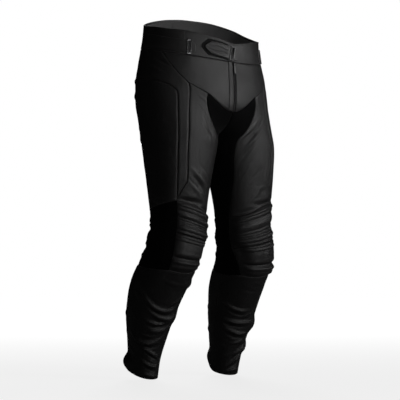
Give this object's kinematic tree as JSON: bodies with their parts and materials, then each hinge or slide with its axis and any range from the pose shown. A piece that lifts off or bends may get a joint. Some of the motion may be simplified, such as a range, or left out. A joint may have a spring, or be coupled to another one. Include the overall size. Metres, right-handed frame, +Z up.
{
  "type": "motorcycle trousers",
  "caption": "Black leather motorcycle trousers in their worn shape, with bent padded knees, stretch insets, zip fly, waist tab and zipped ankles.",
  "frame": {"origin": "middle of the waist, at the height of the waistband's middle, where the wearer's waist holds the trousers", "axes": "+Z up along the wearer, -Y the way the wearer faces, +X to the wearer's left"},
  "size_m": [0.4239, 0.2977, 1.0245],
  "materials": {
    "leather": "smooth, semi-matt",
    "stretch": "matt woven stretch cloth",
    "waistband": "smooth, semi-matt",
    "lining": "matt mesh",
    "zip_tape": "matt woven tape",
    "hook_and_loop": "matt pile",
    "metal": "polished",
    "black_metal": "satin black"
  },
  "bodies": {
    "garment": {"front_yoke_left": "leather", "front_yoke_right": "leather", "hip_left": "leather", "hip_right": "leather", "thigh_front_left": "leather", "thigh_front_right": "leather", "side_panel_left": "leather", "side_panel_right": "leather", "seat_left": "leather", "seat_right": "leather", "inner_front_left": "stretch", "inner_front_right": "stretch", "inner_back_left": "stretch", "inner_back_right": "stretch", "thigh_back_left": "leather", "thigh_back_right": "leather", "knee_band_left": "leather", "knee_band_right": "leather", "knee_cup_left": "leather", "knee_cup_right": "leather", "knee_back_left": "stretch", "knee_back_right": "stretch", "shin_left": "leather", "shin_right": "leather", "calf_outer_left": "leather", "calf_outer_right": "leather", "calf_inner_left": "leather", "calf_inner_right": "leather", "ankle_zip_tape_left": "zip_tape", "ankle_zip_tape_right": "zip_tape", "waistband_front_left": "waistband", "waistband_front_right": "waistband", "waistband_back_left": "waistband", "waistband_back_right": "waistband", "waist_lining_left": "lining", "waist_lining_right": "lining", "fly_zip_tape_left": "zip_tape", "fly_zip_tape_right": "zip_tape", "side_strap_left": "waistband", "side_strap_right": "waistband", "strap_slide_left": "metal", "strap_slide_right": "metal", "ankle_left_zip_slider": "black_metal", "ankle_right_zip_slider": "black_metal", "fly_placket_right": "leather", "fly_fold_left": "leather", "tab_landing_right": "hook_and_loop", "waist_tab_right": "leather", "ring_loop_left": "leather", "tab_ring": "black_metal", "fly_zip_slider": "black_metal"},
    "fly_pull": {"fly_zip_pull": "black_metal"},
    "ankle_pull_left": {"ankle_left_zip_pull": "black_metal"},
    "ankle_pull_right": {"ankle_right_zip_pull": "black_metal"}
  },
  "joints": [
    {"name": "fly_pull_hinge", "type": "hinge", "parent": "garment", "child": "fly_pull", "pos_m": [0, -0.14837, -0.08219], "axis": [-1, 0, 0], "range_deg": [0, 110]},
    {"name": "ankle_pull_left_hinge", "type": "hinge", "parent": "garment", "child": "ankle_pull_left", "pos_m": [0.14633, 0.13357, -0.90079], "axis": [0.9937, 0.1124, 0], "range_deg": [0, 110]},
    {"name": "ankle_pull_right_hinge", "type": "hinge", "parent": "garment", "child": "ankle_pull_right", "pos_m": [-0.14633, 0.13357, -0.90079], "axis": [0.9937, -0.1124, 0], "range_deg": [0, 110]}
  ]
}
